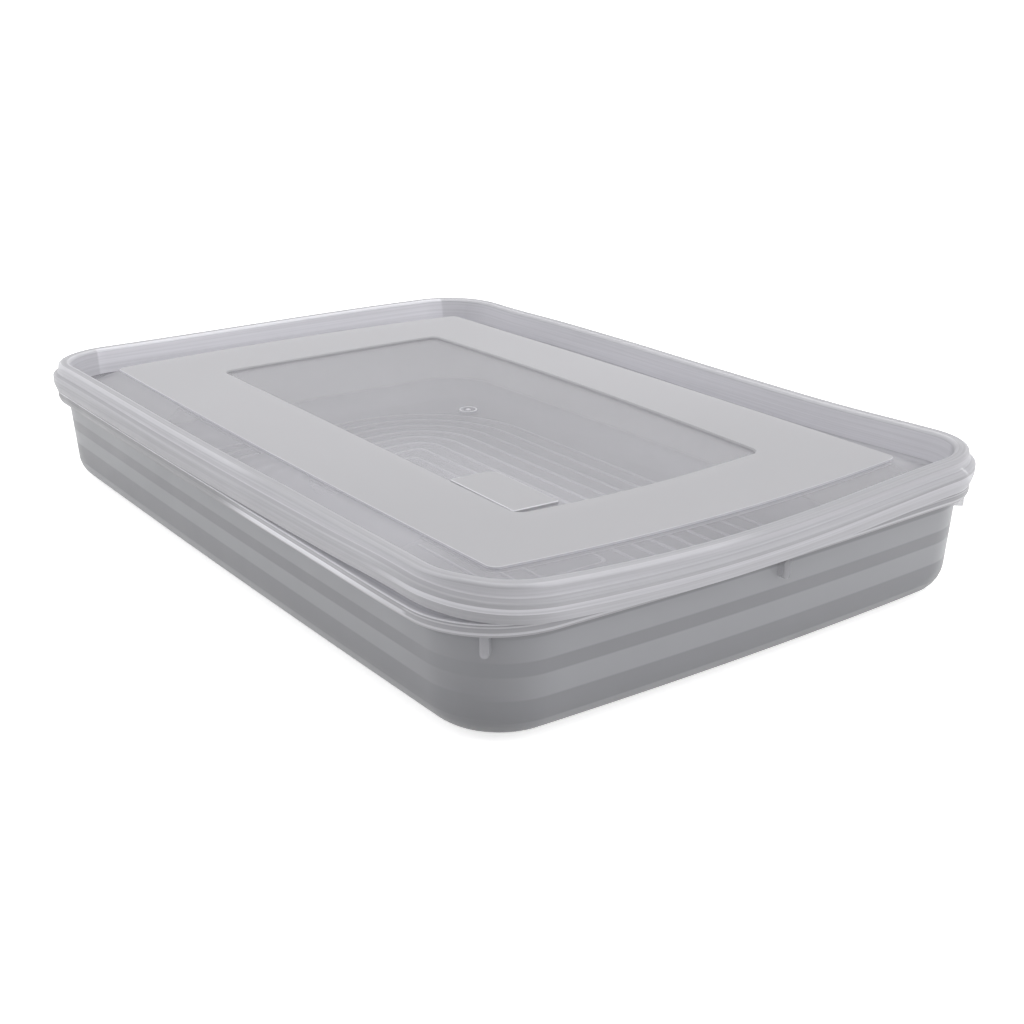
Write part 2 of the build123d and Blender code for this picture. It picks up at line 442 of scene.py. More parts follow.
def node_material(name):
    """A new material with its node tree and its shader."""
    material = bpy.data.materials.new(name)
    material.use_nodes = True
    tree = material.node_tree
    shader = tree.nodes["Principled BSDF"]
    return material, tree, shader


def link(tree, source, target):
    """Joins an output to an input."""
    tree.links.new(source, target)


def add_node(tree, kind, **settings):
    """A new node with the settings given."""
    node = tree.nodes.new(kind)
    for key, value in settings.items():
        setattr(node, key, value)
    return node


def coordinates(tree):
    """Object coordinates, in metres."""
    return add_node(tree, "ShaderNodeTexCoord").outputs["Object"]


def place_parts(tree):
    """The x, y and z of the object coordinates."""
    split = add_node(tree, "ShaderNodeSeparateXYZ")
    link(tree, coordinates(tree), split.inputs["Vector"])
    return split.outputs["X"], split.outputs["Y"], split.outputs["Z"]


def noise(tree, scale, detail, stretch=None):
    """Noise over the object coordinates, which may be stretched first."""
    node = add_node(tree, "ShaderNodeTexNoise")
    node.inputs["Scale"].default_value = scale
    node.inputs["Detail"].default_value = detail
    place = coordinates(tree)
    if stretch:
        mapping = add_node(tree, "ShaderNodeMapping")
        mapping.inputs["Scale"].default_value = stretch
        link(tree, place, mapping.inputs["Vector"])
        place = mapping.outputs["Vector"]
    link(tree, place, node.inputs["Vector"])
    return node.outputs["Fac"]


def remap(tree, value, low, high, to_low, to_high, smooth_ends=False):
    """The value's place between low and high, turned into one between to_low and to_high."""
    node = add_node(tree, "ShaderNodeMapRange")
    if smooth_ends:
        node.interpolation_type = "SMOOTHSTEP"
    for key, number in zip(("From Min", "From Max", "To Min", "To Max"), (low, high, to_low, to_high)):
        node.inputs[key].default_value = number
    link(tree, value, node.inputs["Value"])
    return node.outputs["Result"]


def grows(tree, value, start, end, smooth_ends=False):
    """0 up to the start, and 1 from the end on."""
    return remap(tree, value, start, end, 0, 1, smooth_ends)


def falls(tree, value, start, end, smooth_ends=False):
    """1 up to the start, and 0 from the end on."""
    return remap(tree, value, start, end, 1, 0, smooth_ends)


def maths(tree, operation, first, second):
    """The result of a calculation with two numbers or outputs."""
    node = add_node(tree, "ShaderNodeMath", operation=operation)
    for socket, value in zip(node.inputs, (first, second)):
        if isinstance(value, (int, float)):
            socket.default_value = value
        else:
            link(tree, value, socket)
    return node.outputs[0]


def times(tree, first, *others):
    """The product of several numbers or outputs."""
    for other in others:
        first = maths(tree, "MULTIPLY", first, other)
    return first


def vary(tree, source, low, high):
    """Noise turned into a value that mostly stays between low and high."""
    return remap(tree, source, 0.3, 0.7, low, high)


def scale_colour(tree, colour, factor):
    """The colour times a factor, as a colour output."""
    node = add_node(tree, "ShaderNodeMix", data_type="RGBA", blend_type="MULTIPLY")
    node.inputs["Factor"].default_value = 1.0
    if isinstance(colour, tuple):
        node.inputs[MIX_FIRST].default_value = (*colour, 1)
    else:
        link(tree, colour, node.inputs[MIX_FIRST])
    combine = add_node(tree, "ShaderNodeCombineColor")
    for socket in ("Red", "Green", "Blue"):
        link(tree, factor, combine.inputs[socket])
    link(tree, combine.outputs["Color"], node.inputs[MIX_SECOND])
    return node.outputs[MIX_RESULT]


def mix_colour(tree, factor, first, second):
    """First colour at factor 0, second at factor 1."""
    node = add_node(tree, "ShaderNodeMix", data_type="RGBA")
    link(tree, factor, node.inputs[0])
    for socket, colour in ((node.inputs[MIX_FIRST], first), (node.inputs[MIX_SECOND], second)):
        if isinstance(colour, tuple):
            socket.default_value = (*colour, 1)
        else:
            link(tree, colour, socket)
    return node.outputs[MIX_RESULT]


def bump(tree, shader, height, strength, distance):
    """Fine relief on the shader's surface."""
    node = add_node(tree, "ShaderNodeBump")
    node.inputs["Strength"].default_value = strength
    node.inputs["Distance"].default_value = distance
    link(tree, height, node.inputs["Height"])
    link(tree, node.outputs["Normal"], shader.inputs["Normal"])


def streaks(tree):
    """Noise drawn out along the rim: it changes quickly across the section and slowly along it."""
    across = add_node(tree, "ShaderNodeAttribute", attribute_name="across").outputs["Fac"]
    x, y, _ = place_parts(tree)
    along = add_node(tree, "ShaderNodeCombineXYZ")
    for socket, value, pace in zip(along.inputs, (across, x, y), STREAK_PACE):
        link(tree, times(tree, value, pace), socket)
    node = add_node(tree, "ShaderNodeTexNoise")
    node.inputs["Scale"].default_value = 1.0
    node.inputs["Detail"].default_value = 2.0
    link(tree, along.outputs["Vector"], node.inputs["Vector"])
    return node.outputs["Fac"]


def finish_plastic(tree, shader, colour, alpha, roughness=SHEET_ROUGHNESS, streak=0.0):
    """Soft gloss, faint flow marks, streaks along the rim and slightly uneven clarity."""
    flow = noise(tree, 7, 2, (1, 1, 2))
    shade = vary(tree, flow, 0.985, 1.015)
    if streak:
        shade = times(tree, shade, remap(tree, streaks(tree), 0.35, 0.65, 1 - streak, 1 + streak))
    link(tree, scale_colour(tree, colour, shade), shader.inputs["Base Color"])
    clarity = maths(tree, "ADD", alpha, vary(tree, flow, -0.01, 0.01))
    link(tree, clarity, shader.inputs["Alpha"])
    gloss = vary(tree, noise(tree, 60, 2), roughness - 0.03, roughness + 0.03)
    link(tree, gloss, shader.inputs["Roughness"])
    bump(tree, shader, noise(tree, 12, 1), 0.05, 0.0004)
    shader.inputs["IOR"].default_value = PLASTIC_IOR


def clear_plastic(name, colour, alpha, roughness=SHEET_ROUGHNESS, streak=0.0):
    """Translucent moulded sheet."""
    material, tree, shader = node_material(name)
    finish_plastic(tree, shader, colour, alpha, roughness, streak)
    return material


def frosted_plastic(name, colour, alpha):
    """Fine-grained frosted sheet, with painted shade: lighter towards the -X end and the far side, darker
    towards the +X end.
    """
    material, tree, shader = node_material(name)
    x, y, _ = place_parts(tree)
    cloud = noise(tree, 9, 3)
    grain = noise(tree, 2600, 2)
    # Painted shade: lighter to the left and the far side, darker towards the +X end and the near side
    painted_shade_x = remap(tree, x, -0.05, 0.14, 1.03, 0.95, True)
    painted_shade_y = remap(tree, y, -0.09, 0.09, 0.985, 1.015)
    shade = times(tree, painted_shade_x, painted_shade_y, vary(tree, cloud, 0.99, 1.01))
    link(tree, scale_colour(tree, colour, shade), shader.inputs["Base Color"])
    link(tree, vary(tree, grain, alpha - 0.02, alpha + 0.02), shader.inputs["Alpha"])
    link(tree, vary(tree, grain, 0.5, 0.62), shader.inputs["Roughness"])
    bump(tree, shader, grain, 0.2, 0.0002)
    shader.inputs["IOR"].default_value = PLASTIC_IOR
    return material


# Heights at which the wall's bands change: light below the first, and then dark and light in turn
BAND_SCALE = 60.0
BAND_BLEND = 0.3
SIDE_BANDS = (11.0, 20.3, 27.0, 32.4, 40.0)
END_BANDS = (7.5, 16.4, 25.0, 30.3, 38.8)


def banded(tree, height, light, dark, edges):
    """Colour that starts light at the foot and goes dark and light in turn, with edges in millimetres."""
    ramp = add_node(tree, "ShaderNodeValToRGB")
    stops = [(0.0, light)]
    before = light
    for number, edge in enumerate(edges):
        colour = (dark, light)[number % 2]
        stops.append(((edge - BAND_BLEND) / BAND_SCALE, before))
        stops.append(((edge + BAND_BLEND) / BAND_SCALE, colour))
        before = colour
    elements = ramp.color_ramp.elements
    while len(elements) < len(stops):
        elements.new(0.5)
    for element, (place, colour) in zip(elements, stops):
        element.position = place
        element.color = (*colour, 1)
    link(tree, height, ramp.inputs["Fac"])
    return ramp.outputs["Color"]


def wall_plastic(name, side, end, plain, alpha):
    """The tub's wall, with a pair of light and dark tones for the bands on its sides and one for its ends,
    whose lighter tones are painted light. The bands fade out round the near corner, where the wall is plain,
    and the wall gets darker towards its foot."""
    material, tree, shader = node_material(name)
    x, y, z = place_parts(tree)
    on_end = grows(tree, maths(tree, "ABSOLUTE", x, 0), 0.165, 0.184, True)
    drop = remap(tree, x, -0.19, 0.15, 0.0, 0.0018)
    to_ramp = 1 / (BAND_SCALE * MM)
    side_height = times(tree, maths(tree, "ADD", z, drop), to_ramp)
    end_height = times(tree, z, to_ramp)
    side_bands = banded(tree, side_height, *side, SIDE_BANDS)
    end_bands = banded(tree, end_height, *end, END_BANDS)
    bands = mix_colour(tree, on_end, side_bands, end_bands)
    past_side = remap(tree, x, 0.13, 0.175, 0, 0.92, True)
    before_end = falls(tree, y, -0.12, -0.085, True)
    corner = times(tree, past_side, before_end)
    fade = remap(tree, z, 0.0, 0.036, 0.73, 1.02)
    foot = remap(tree, z, 0.003, 0.010, 0.8, 1, True)
    bands = mix_colour(tree, corner, scale_colour(tree, bands, foot), scale_colour(tree, plain, fade))
    finish_plastic(tree, shader, bands, alpha, WALL_ROUGHNESS)
    return material


def side_plastic(name, left, middle, elsewhere, alpha):
    """Flange plastic with a left and a middle tone along the near long side, and one tone elsewhere. The left
    tone is painted shade, and on the lip the middle tone is a painted highlight.
    """
    material, tree, shader = node_material(name)
    x, y, _ = place_parts(tree)
    # Painted shade on the left of the near long side, and a painted highlight in its middle on the lip
    rise = grows(tree, x, 0.012, 0.05, True)
    fall = remap(tree, x, 0.10, 0.15, 1, 0.55, True)
    along = mix_colour(tree, times(tree, rise, fall), left, middle)
    on_side = falls(tree, y, -0.126, -0.123)
    before_corner = falls(tree, x, 0.150, 0.153)
    tone = mix_colour(tree, times(tree, on_side, before_corner), elsewhere, along)
    finish_plastic(tree, shader, tone, alpha, WALL_ROUGHNESS, 0.04)
    return material


def plug_plastic(name, reflection_colour, reflection_line, corner, far, left, front, alpha):
    """Inner wall of the rim: on the -X end a painted reflection of the frame, in stripes; plain in the
    corners and on the long sides.
    """
    material, tree, shader = node_material(name)
    x, y, _ = place_parts(tree)
    # Painted reflection: the frosted frame's mirror image on the -X end, as bright and darker stripes
    reflection_stripes = noise(tree, 1, 1, (1, 1, 420))
    reflection_tone = mix_colour(tree, grows(tree, reflection_stripes, 0.4, 0.6), reflection_line, reflection_colour)
    from_front = grows(tree, y, -0.1005, -0.0995)
    to_back = falls(tree, y, 0.1045, 0.1055)
    on_end = times(tree, from_front, to_back, falls(tree, x, -0.170, -0.168))
    in_corner = falls(tree, x, -0.172, -0.1715)
    before_right = falls(tree, x, 0.170, 0.176)
    at_back = times(tree, grows(tree, y, 0.0, 0.05), before_right)
    tone = mix_colour(tree, grows(tree, x, -0.15, 0.0, True), left, front)
    tone = mix_colour(tree, at_back, tone, mix_colour(tree, in_corner, far, corner))
    tone = mix_colour(tree, on_end, tone, reflection_tone)
    finish_plastic(tree, shader, tone, alpha, WALL_ROUGHNESS, 0.05)
    return material


def moat_plastic(name, plain, front, back, alpha, back_alpha):
    """Sloping sheet around the frame, with painted shade that darkens it towards the near corner; on the far
    side it is a little lighter and denser.
    """
    material, tree, shader = node_material(name)
    x, y, _ = place_parts(tree)
    # Painted shade: darker on the +X part of the moat, most of all towards the near corner
    on_end = grows(tree, x, 0.10, 0.172, True)
    painted_shade_front = times(tree, on_end, remap(tree, y, -0.11, 0.10, 1, 0.1))
    before_right = falls(tree, x, 0.150, 0.172, True)
    at_back = times(tree, grows(tree, y, 0.092, 0.102, True), before_right)
    tone = mix_colour(tree, at_back, mix_colour(tree, painted_shade_front, plain, front), back)
    finish_plastic(tree, shader, tone, remap(tree, at_back, 0, 1, alpha, back_alpha))
    return material


def crest_edge_plastic(name, plain, painted_highlight, alpha):
    """Outer edge of the rim's crest, with a painted highlight on the left and along the near part of the +X
    end.
    """
    material, tree, shader = node_material(name)
    x, y, _ = place_parts(tree)
    # Painted highlight on the crest's outer rounding
    left = falls(tree, x, 0.02, 0.06, True)
    past_corner = grows(tree, y, -0.108, -0.100)
    near_part = falls(tree, y, -0.03, 0.0, True)
    along_end = times(tree, past_corner, near_part, grows(tree, x, 0.17, 0.18))
    shine = maths(tree, "MAXIMUM", left, along_end)
    colour = mix_colour(tree, shine, plain, painted_highlight)
    finish_plastic(tree, shader, colour, alpha, SHEET_ROUGHNESS, 0.04)
    return material


def rim_plastic(name, side, corner, end, alpha, streak):
    """Outer rim plastic with painted light and shade: one tone for the long sides, one for the near corner
    and one for the +X end, set by how the light falls on each.
    """
    material, tree, shader = node_material(name)
    x, y, _ = place_parts(tree)
    # Painted light and shade: the tone changes from the long side to the near corner and the +X end
    near = mix_colour(tree, grows(tree, x, 0.125, 0.165, True), side, corner)
    beyond = mix_colour(tree, grows(tree, x, 0.15, 0.17), side, end)
    tone = mix_colour(tree, grows(tree, y, -0.118, -0.085, True), near, beyond)
    finish_plastic(tree, shader, tone, alpha, RIM_ROUGHNESS, streak)
    return material


def grey(level, blue=1.05, green=0.993):
    """A grey with the faint blue of the clear plastic."""
    return (level, level * green, level * blue)


def wall_grey(level):
    """The tub wall's grey, which is a little bluer and less red."""
    return grey(level, 1.07, 1.01)


# The moat's front tone is painted shade
clear_lid = moat_plastic(
    "clear_lid", plain=grey(0.60), front=grey(0.46), back=grey(0.62), alpha=0.34, back_alpha=0.58)
clear_window = clear_plastic("clear_window", grey(0.59), 0.31)
frosted = frosted_plastic("frosted_lid", grey(0.44, 1.035), 0.92)
frame_edge = clear_plastic("frame_edge", grey(0.88), 0.75)
frame_glint = clear_plastic("frame_glint", grey(0.58), 0.9)
# The -X end tones of the rim's inner wall and its fillet are a painted reflection of the frame
plug_plain = plug_plastic(
    "plug_wall", reflection_colour=grey(0.87), reflection_line=grey(0.79), corner=grey(0.70), far=grey(0.68),
    left=grey(0.68), front=grey(0.45), alpha=0.82)
plug_fillet = plug_plastic(
    "plug_fillet", reflection_colour=grey(0.84), reflection_line=grey(0.80), corner=grey(0.56), far=grey(0.56),
    left=grey(0.64), front=grey(0.50), alpha=0.8)
crest_plastic = clear_plastic("crest", grey(0.415), 0.85, RIM_ROUGHNESS, 0.08)
crest_edge = crest_edge_plastic("crest_edge", grey(0.46), grey(0.58), 0.85)
neck_plastic = clear_plastic("neck", grey(0.64), 0.72, RIM_ROUGHNESS, 0.08)
# Rim tones for the long sides, the near corner and the +X end carry painted light and shade
slope_plastic = rim_plastic("bead_slope", grey(0.46), grey(0.42), grey(0.52), 0.7, 0.06)
line_plastic = rim_plastic("bead_line", grey(0.44), grey(0.38), grey(0.52), 0.75, 0.0)
bead_plastic = rim_plastic("clear_bead", grey(0.48), grey(0.41), grey(0.48), 0.8, 0.09)
belly_plastic = rim_plastic("bead_belly", grey(0.47), grey(0.70), grey(0.66), 0.8, 0.09)
under_plastic = rim_plastic("bead_underside", grey(0.45), grey(0.40), grey(0.58), 0.85, 0.06)
inside_plastic = clear_plastic("lid_inside", grey(0.70), 0.4)
mark_plastic = clear_plastic("mark", grey(0.64), 0.75)
tub_rim = clear_plastic("tub_rim", grey(0.64), 0.85, RIM_ROUGHNESS, 0.05)
flange_plastic = clear_plastic("clear_flange", grey(0.80), 0.75, streak=0.1)
# Flange and lip tones: painted shade on the left, and a painted highlight in the middle of the lip
flange_face = side_plastic("flange_face", grey(0.25), grey(0.44), grey(0.36), 0.8)
flange_line = side_plastic("flange_line", grey(0.25), grey(0.50), grey(0.54), 0.8)
lip_upper = side_plastic("lip_upper", grey(0.29), grey(0.86), grey(0.36), 0.85)
lip_lower = side_plastic("lip_lower", grey(0.30), grey(0.86), grey(0.58), 0.85)
lip_foot = side_plastic("lip_foot", grey(0.30), grey(0.55), grey(0.40), 0.85)
# Painted light: the ends' band tones are lighter than the sides'
tub_wall = wall_plastic(
    "banded_tub", side=(wall_grey(0.330), wall_grey(0.235)), end=(wall_grey(0.375), wall_grey(0.280)),
    plain=wall_grey(0.285), alpha=0.8)
tub_inner = clear_plastic("inner_wall", grey(0.46), 0.5)
tub_floor = clear_plastic("tub_floor", grey(0.62), 0.8)
tub_ring = clear_plastic("tub_ring", grey(0.88), 0.9)
rib_plastic = clear_plastic("nesting_rib", grey(0.54), 0.5)
faint_rib = clear_plastic("end_rib", grey(0.42), 0.28)

# What each kind of step in a section is made of
LID_KINDS = {
    "clear": clear_lid, "frost": frosted, "window": clear_window, "plug": plug_plain, "edge": frame_edge,
    "glint": frame_glint, "fillet": plug_fillet, "crest": crest_plastic, "shine": crest_edge,
    "neck": neck_plastic, "slope": slope_plastic, "line": line_plastic, "bead": bead_plastic,
    "belly": belly_plastic, "under": under_plastic, "inside": inside_plastic}
TUB_KINDS = {
    "rim": tub_rim, "flange": flange_plastic, "face": flange_face, "thin": flange_line, "upper": lip_upper,
    "lower": lip_lower, "foot": lip_foot, "wall": tub_wall, "inner": tub_inner, "floor": tub_floor,
    "ring": tub_ring}


def skin(name, steps, kinds, **options):
    """Mesh over (loop, kind) steps, with one material slot for each kind."""
    names = list(kinds)
    loops = [loop for loop, kind in steps]
    bands = [names.index(kind) for loop, kind in steps]
    return mesh_from_loops(name, loops, bands, kinds.values(), **options)


# Lid: one closed skin from the middle of its top, over the rim, and back under to the middle

def rim_section():
    """The rim's section: up the plug from the moat, over the crest, down to the skirt, and back inside."""
    return rounded_path([
        (MOAT_INSET, PLUG_BOTTOM + SHEET + MOAT_RISE, "clear"),
        (PLUG_FOOT_INSET + SHEET, PLUG_BOTTOM + SHEET, 1.6, "clear", "plug"),
        (CREST_INNER_INSET, CREST_TOP, 1.8, "fillet", "crest"),
        (CREST_INSET, CREST_TOP, 1.5, "shine", "neck"),
        (NECK_INSET, NECK_FOOT, 1.0, "neck", "slope"),
        (*LINE_TOP, 0, "line"),
        (*LINE_FOOT, 0, "bead"),
        (0, BEAD_TOP, 1.8, "bead", "bead"),
        (0, BELLY_TOP, 0, "belly"),
        (0, BEAD_LOW, 1.2, "under", "under"),
        (SKIRT_FOOT_INSET, SKIRT_BOTTOM, 0.1, "under", "under"),
        (SHEET, SKIRT_BOTTOM, 0.1, "under", "inside"),
        (*HOLLOW_LOW, 0.5, "inside", "inside"),
        (*HOLLOW_NECK, 0.5, "inside", "inside"),
        (*HOLLOW_TOP, 0.4, "inside", "inside"),
        (PLUG_TOP_INSET, CEILING, 0.4, "inside", "inside"),
        (PLUG_FOOT_INSET, PLUG_BOTTOM, 1.2, "inside", "clear"),
        (MOAT_INSET, PLUG_BOTTOM + MOAT_RISE, "clear"),
    ], steps=6)


def lid_skin():
    """The lid's sheet, top and underside."""
    steps = []

    def put(loop, share, kind):
        steps.append((lift_lid(loop, share), kind))

    def window(inset, height, radius=WINDOW_CORNER):
        return panel_outline(FRAME_WIDTH + inset, height, radius, WINDOW_BOWS)

    for scale in MIDDLE_SCALES:
        put(window(0, WINDOW_LEVEL) * (scale, scale, 1), 1, "window")
    for inset, height, radius in WINDOW_STEP:
        put(window(inset, height, radius), 1, "frost")
    flat_inner = window(*WINDOW_STEP[-1])
    flat_outer = panel_outline(FRAME_FLAT_INSET, FRAME_TOP, FRAME_CORNER - FRAME_FLAT_INSET / 2)
    for loop in (*blend_loops(flat_inner, flat_outer, FRAME_STEPS), flat_outer):
        put(loop, 1, "frost")
    edge = rounded_path([
        (FRAME_FLAT_INSET, FRAME_TOP, "frost"),
        (0, FRAME_TOP, FRAME_ROUNDING, "glint", "edge"),
        (0, WINDOW_LEVEL, "clear")])
    for inset, height, kind in edge[1:-1]:
        put(panel_outline(inset, height, FRAME_CORNER - inset / 2), 1, kind)
    foot = panel_outline(0, WINDOW_LEVEL)
    put(foot, 1, "clear")
    path = rim_section()
    shares = np.linspace(1, 0, SLOPE_STEPS + 2)[1:-1]
    for share, loop in zip(shares, blend_loops(foot, outline(*path[0][:2]), SLOPE_STEPS)):
        put(loop, share, "clear")
    for inset, height, kind in path:
        put(outline(inset, height), 0, kind)
    under_edge = panel_outline(0, WINDOW_LEVEL - SHEET)
    slope = blend_loops(outline(*path[-1][:2]), under_edge, SLOPE_STEPS)
    for share, loop in zip(reversed(shares), slope):
        put(loop, share, "clear")
    put(under_edge, 1, "edge")
    put(panel_outline(SHEET, WINDOW_LEVEL - SHEET), 1, "edge")
    under_outer = panel_outline(SHEET, FRAME_TOP - SHEET)
    under_inner = window(-SHEET, FRAME_TOP - SHEET)
    for loop in (under_outer, *blend_loops(under_outer, under_inner, FRAME_STEPS), under_inner):
        put(loop, 1, "frost")
    put(window(-SHEET, WINDOW_LEVEL - SHEET), 1, "window")
    for scale in reversed(MIDDLE_SCALES):
        put(window(0, WINDOW_LEVEL - SHEET) * (scale, scale, 1), 1, "window")
    return skin("lid_shell", steps, LID_KINDS)


lid_shell = lid_skin()
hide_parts("lid")


def pad_outline(inset, height):
    """The pad's outline at an inset and a height."""
    left, right, front, back = PAD_LEFT + inset, PAD_RIGHT - inset, PAD_FRONT + inset, PAD_BACK - inset
    points = []
    for x, y, sx, sy, start, radius in (
        (right, back, 1, 1, 0, PAD_CORNER), (left, back, -1, 1, 90, PAD_BIG_CORNER),
        (left, front, -1, -1, 180, PAD_CORNER), (right, front, 1, -1, 270, PAD_RIGHT_CORNER)
    ):
        radius = max(radius - inset, LEAST_PAD_CORNER)
        cx, cy = x - sx * radius, y - sy * radius
        for angle in np.radians(np.linspace(start, start + 90, PAD_CORNER_STEPS)):
            points.append((cx + radius * math.cos(angle), cy + radius * math.sin(angle)))
    return at_height(np.array(points), height)


def pad_skin():
    """The raised pad, which stands in the window's sheet."""
    top = WINDOW_LEVEL + PAD_RISE
    path = rounded_path([
        (0, WINDOW_LEVEL - PAD_SINK, "frost"),
        (0, top, PAD_EDGE, "edge", "frost"),
        (PAD_MIDDLE_INSET, top, "frost")])
    steps = [(lift_lid(pad_outline(inset, height), 1), kind) for inset, height, kind in path]
    return skin("lid_pad", steps, LID_KINDS)


lid_pad = pad_skin()


def circle(radius, height, count=48):
    """Points around a circle in the middle of the window."""
    angles = np.linspace(0, 2 * math.pi, count, endpoint=False)
    return at_height(radius * np.column_stack([np.cos(angles), np.sin(angles)]), height)


def mark_skin(name, section, closed):
    """A round shape turned from a section of (radius, height) corners, ring-shaped if it is closed."""
    steps = [(lift_lid(circle(radius, height), 1), "mark") for radius, height in section]
    return skin(name, steps, {"mark": mark_plastic}, closed=closed)


mark_top = WINDOW_LEVEL + MARK_RISE
mark_edge = mark_top - MARK_EDGE_DROP
mark_side = mark_top - MARK_SIDE_DROP
mark_low = WINDOW_LEVEL - MARK_SINK
mark_inner = MARK_RADIUS - MARK_WALL
mark_ring = mark_skin("lid_mark_ring", [
    (MARK_RADIUS, mark_low),
    (MARK_RADIUS, mark_side),
    (MARK_RADIUS - MARK_BEVEL, mark_edge),
    (mark_inner + MARK_BEVEL, mark_edge),
    (mark_inner, mark_side),
    (mark_inner, mark_low),
], True)
mark_nub = mark_skin("lid_mark_nub", [
    (NUB_RADIUS, mark_low),
    (NUB_RADIUS, WINDOW_LEVEL + NUB_SIDE_RISE),
    (NUB_EDGE_RADIUS, mark_edge),
    (NUB_TOP_RADIUS, mark_top),
], False)

for piece in (lid_shell, lid_pad, mark_ring, mark_nub):
    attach(piece, "lid")


# Tub: one closed skin from the middle of the floor, over the rim, and back under to the middle

def wall_inset(height):
    """Inset of the wall's outer face at a height."""
    return FOOT_INSET - WALL_DRAFT * height


def tub_section():
    """The wall's section: up its inside, over the rim, round the flange and down to the foot."""
    return rounded_path([
        (wall_inset(FLOOR) + WALL + FLOOR_FLAT, FLOOR, "floor"),
        (wall_inset(FLOOR) + WALL, FLOOR, BOTTOM_RADIUS - WALL, "floor", "inner"),
        (wall_inset(FLANGE_TOP) + WALL, FLANGE_TOP, 0, "inner", "rim"),
        (wall_inset(RIM_TOP) + WALL, RIM_TOP, 0.5, "rim", "rim"),
        (wall_inset(RIM_TOP), RIM_TOP, 0.5, "rim", "rim"),
        (wall_inset(GRIP_BEAD_HIGH), GRIP_BEAD_HIGH, 0.6, "rim", "rim"),
        (*GRIP_BEAD, 0.9, "rim", "rim"),
        (wall_inset(GRIP_BEAD_LOW), GRIP_BEAD_LOW, 0.6, "rim", "rim"),
        (wall_inset(FLANGE_TOP), FLANGE_TOP, 0.5, "flange", "flange"),
        (FLANGE_INSET, FLANGE_TOP, 1.1, "flange", "face"),
        (FLANGE_INSET, THIN_LINE_TOP, 0, "thin"),
        (FLANGE_INSET, THIN_LINE_LOW, 0, "face"),
        (FLANGE_INSET, LIP_TOP, 0, "upper"),
        (FLANGE_INSET, LIP_MIDDLE, 0.6, "lower", "lower"),
        (*LIP_LOW, 0, "foot"),
        (*LIP_FOOT, 0.3, "foot", "foot"),
        (FLANGE_INNER_INSET, FLANGE_BOTTOM, 0.2, "foot", "flange"),
        (FLANGE_INNER_INSET, FLANGE_UNDERSIDE, 0.3, "flange", "flange"),
        (wall_inset(FLANGE_UNDERSIDE), FLANGE_UNDERSIDE, 0.3, "flange", "wall"),
        (wall_inset(0), 0, BOTTOM_RADIUS, "wall", "wall"),
        (wall_inset(0) + FOOT_FLAT, 0, "floor"),
    ], steps=8)


def tub_skin():
    """The tub's sheet, inside and outside."""
    steps = []

    def put(loop, kind):
        steps.append((lift_tub(loop), kind))

    centre = ring_outline(INNERMOST_INSET, FLOOR)
    for scale in (0.05, 0.5, 1.0):
        put(centre * (scale, scale, 1), "floor")
    half = RING_WIDTH / 2
    for number in reversed(range(RING_COUNT)):
        middle = RING_INSET + number * RING_PITCH
        put(ring_outline(middle + half, FLOOR), "ring")
        put(ring_outline(middle + half - RING_SLOPE, FLOOR + RING_HEIGHT), "ring")
        put(ring_outline(middle - half + RING_SLOPE, FLOOR + RING_HEIGHT), "ring")
        put(ring_outline(middle - half, FLOOR), "floor")
    path = tub_section()
    for inset, height, kind in path:
        put(outline(inset, height), kind)
    last = outline(*path[-1][:2])
    for scale in (0.8, 0.4, 0.05):
        put(last * (scale, scale, 1), "floor")
    return skin("tub_shell", steps, TUB_KINDS)


tub_shell = tub_skin()
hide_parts("tub")


# Nesting ribs under the flange: rounded bars that stand on the wall

def rib_skin(name, place, outward, plastic):
    """A rib at a point of the wall, facing outwards: a slot-shaped bar with a soft front edge."""
    across = np.array([-outward[1], outward[0], 0.0])
    outward = np.array([*outward, 0.0])
    root = np.array([*place, 0.0])
    depth = wall_inset(RIB_BOTTOM) + WALL / 2 - RIB_INSET
    low = RIB_BOTTOM + RIB_WIDTH / 2
    turns = np.radians(np.linspace(180, 360, RIB_FOOT_STEPS))
    edge = [(depth - behind, narrower) for behind, narrower in RIB_EDGE]
    steps = []
    for out, shrink in [(0, 0)] + edge:
        half = RIB_WIDTH / 2 - shrink
        shape = [(half * math.cos(t), low + half * math.sin(t)) for t in turns]
        shape += [(half, RIB_TOP - shrink), (-half, RIB_TOP - shrink)]
        loop = np.array([root + across * u + outward * out + (0, 0, v) for u, v in shape])
        loop[:, 2] += wave_lift(FLANGE_WAVE, loop[:, 0], loop[:, 1])
        steps.append((loop, "rib"))
    return skin(name, steps, {"rib": plastic})


def rib_places():
    """Rib names, roots on the wall, outward directions and plastics: the four corners and the two ends."""
    root = wall_inset(FLANGE_BOTTOM) + WALL / 2
    corner = np.array((HALF_LENGTH, HALF_WIDTH)) - CORNER_RADIUS + CORNER_BOWS
    reach = CORNER_RADIUS - root
    slant = math.sqrt(0.5)
    for name, sx, sy, shift in (
        ("near", 1, -1, NEAR_RIB_SHIFT), ("right", 1, 1, 0), ("far", -1, 1, 0), ("left", -1, -1, 0)
    ):
        spot = corner * (sx, sy) + slant * (reach * np.array((sx, sy)) + shift * np.array((-sy, sx)))
        yield "rib_" + name, spot, (sx * slant, sy * slant), rib_plastic
    for name, side in (("end_right", 1), ("end_left", -1)):
        place = (side * (HALF_LENGTH + END_BOW - root), side * END_RIB_OFFSET)
        yield "rib_" + name, place, (side, 0), faint_rib


ribs = [rib_skin(*where) for where in rib_places()]
for piece in (tub_shell, *ribs):
    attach(piece, "tub")


# Stage, light and camera

FLOOR_SIZE = 30
FLOOR_DROP = 0.0002
FLOOR_GLOW = 0.69
WORLD_LIGHT = 0.55


